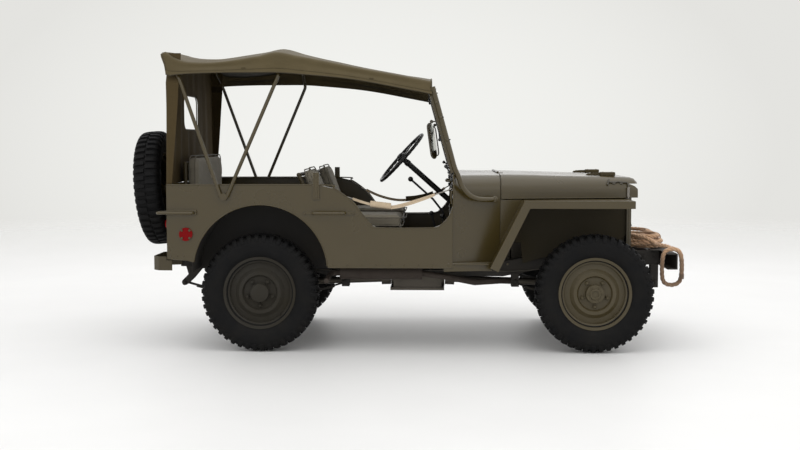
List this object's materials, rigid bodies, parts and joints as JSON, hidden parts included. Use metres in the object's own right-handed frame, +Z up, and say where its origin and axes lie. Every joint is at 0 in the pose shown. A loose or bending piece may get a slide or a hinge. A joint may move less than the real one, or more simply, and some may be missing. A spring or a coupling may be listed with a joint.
{
  "type": "army 4x4 car",
  "caption": "Open four-wheel-drive field car with flat wings, folding windscreen, canvas top on tube bows, spare wheel at the back and rope on the front bumper.",
  "frame": {"origin": "on the ground under the middle of the length and width, bumper to spare wheel", "axes": "+X forward, +Y to the left side, +Z up"},
  "size_m": [3.3756, 1.574, 1.866],
  "materials": {
    "olive_paint": "semi-matt olive drab",
    "dark_paint": "matt dark olive, road dusted",
    "tyre": "black rubber with bar tread",
    "canvas": "khaki olive cotton duck",
    "seat_canvas": "grey olive cotton duck",
    "webbing": "cream cotton webbing",
    "rope": "twisted natural fibre",
    "glass": "clear flat glass",
    "lamp": "lamp with painted rim and clear lens",
    "reflector": "red prism reflector",
    "mirror": "bright mirror with metal back",
    "black_rim": "worn black hard rubber",
    "steel": "oily bare steel"
  },
  "bodies": {
    "body": {"frame": "dark_paint", "front_bumper": "olive_paint", "rear_bumperettes": "olive_paint", "pintle_hook": "dark_paint", "axles": "dark_paint", "leaf_springs": "dark_paint", "gearbox": "dark_paint", "propeller_shafts": "dark_paint", "exhaust": "steel", "engine_block": "dark_paint", "radiator": "dark_paint", "fuel_tank": "olive_paint", "tub_floor": "olive_paint", "rear_floor": "olive_paint", "wheel_boxes": "olive_paint", "body_side_left": "olive_paint", "body_side_right": "olive_paint", "rear_panel": "olive_paint", "cowl": "olive_paint", "front_fenders": "olive_paint", "grille": "olive_paint", "headlamps": "lamp", "steering_column": "dark_paint", "levers_and_pedals": "steel", "rear_seat_frame": "olive_paint", "rear_seat_cushions": "seat_canvas", "roof_canvas_front": "canvas", "roof_canvas_rear": "canvas", "rear_curtain": "canvas", "top_bows": "olive_paint", "grab_handles": "olive_paint", "reflectors": "reflector", "safety_straps": "webbing", "spare_carrier": "olive_paint", "rope_bundle": "rope", "rope_loop": "rope", "rope_tail": "rope", "driver_seat_frame": "olive_paint", "driver_seat_cushions": "seat_canvas", "spare_wheel": "olive_paint", "spare_tyre": "tyre"},
    "hood": {"hood": "olive_paint", "hood_blocks": "olive_paint"},
    "windscreen": {"windscreen_frame": "olive_paint", "windscreen_glass": "glass", "mirrors": "mirror"},
    "steering_wheel": {"steering_wheel": "black_rim"},
    "tie_rod": {"tie_rod": "dark_paint"},
    "passenger_seat": {"passenger_seat_frame": "olive_paint", "passenger_seat_cushions": "seat_canvas"},
    "knuckle_left": {"steering_knuckle_left": "dark_paint"},
    "knuckle_right": {"steering_knuckle_right": "dark_paint"},
    "wheel_front_left": {"wheel_front_left": "olive_paint", "tyre_front_left": "tyre"},
    "wheel_front_right": {"wheel_front_right": "olive_paint", "tyre_front_right": "tyre"},
    "wheel_rear_left": {"wheel_rear_left": "olive_paint", "tyre_rear_left": "tyre"},
    "wheel_rear_right": {"wheel_rear_right": "olive_paint", "tyre_rear_right": "tyre"}
  },
  "joints": [
    {"name": "hood_hinge", "type": "hinge", "parent": "body", "child": "hood", "pos_m": [0.59632, 0, 1.085], "axis": [0, -1, 0], "range_deg": [0, 115]},
    {"name": "windscreen_fold", "type": "hinge", "parent": "body", "child": "windscreen", "pos_m": [0.56232, 0, 0.93], "axis": [0, -1, 0], "range_deg": [-105.5, 0]},
    {"name": "passenger_seat_tilt", "type": "hinge", "parent": "body", "child": "passenger_seat", "pos_m": [-0.02468, -0.355, 0.548], "axis": [0, 1, 0], "range_deg": [0, 50]},
    {"name": "steer_left", "type": "hinge", "parent": "body", "child": "knuckle_left", "pos_m": [1.16633, 0.52, 0.36], "axis": [0, 0, 1], "range_deg": [-26, 26]},
    {"name": "steer_right", "type": "hinge", "parent": "body", "child": "knuckle_right", "pos_m": [1.16633, -0.52, 0.36], "axis": [0, 0, 1], "range_deg": [-26, 26]},
    {"name": "tie_rod_shift", "type": "slide", "parent": "body", "child": "tie_rod", "axis": [0, 1, 0], "range_m": [-0.067, 0.067]},
    {"name": "steering_wheel_turn", "type": "hinge", "parent": "body", "child": "steering_wheel", "pos_m": [-0.02968, 0.35, 1.168], "axis": [-0.7429, -0.0868, 0.6637], "range_deg": [-364.5, 364.5]},
    {"name": "spin_front_left", "type": "hinge", "parent": "knuckle_left", "child": "wheel_front_left", "pos_m": [1.16633, 0.6225, 0.36], "axis": [0, 1, 0], "continuous": true},
    {"name": "spin_front_right", "type": "hinge", "parent": "knuckle_right", "child": "wheel_front_right", "pos_m": [1.16633, -0.6225, 0.36], "axis": [0, 1, 0], "continuous": true},
    {"name": "spin_rear_left", "type": "hinge", "parent": "body", "child": "wheel_rear_left", "pos_m": [-0.86567, 0.6225, 0.36], "axis": [0, 1, 0], "continuous": true},
    {"name": "spin_rear_right", "type": "hinge", "parent": "body", "child": "wheel_rear_right", "pos_m": [-0.86567, -0.6225, 0.36], "axis": [0, 1, 0], "continuous": true}
  ],
  "couplings": [
    {"joint": "steer_right", "follows": "steer_left", "ratio": 1},
    {"joint": "tie_rod_shift", "follows": "steer_left", "m_per_rad": 0.146},
    {"joint": "steering_wheel_turn", "follows": "steer_left", "ratio": 14}
  ]
}
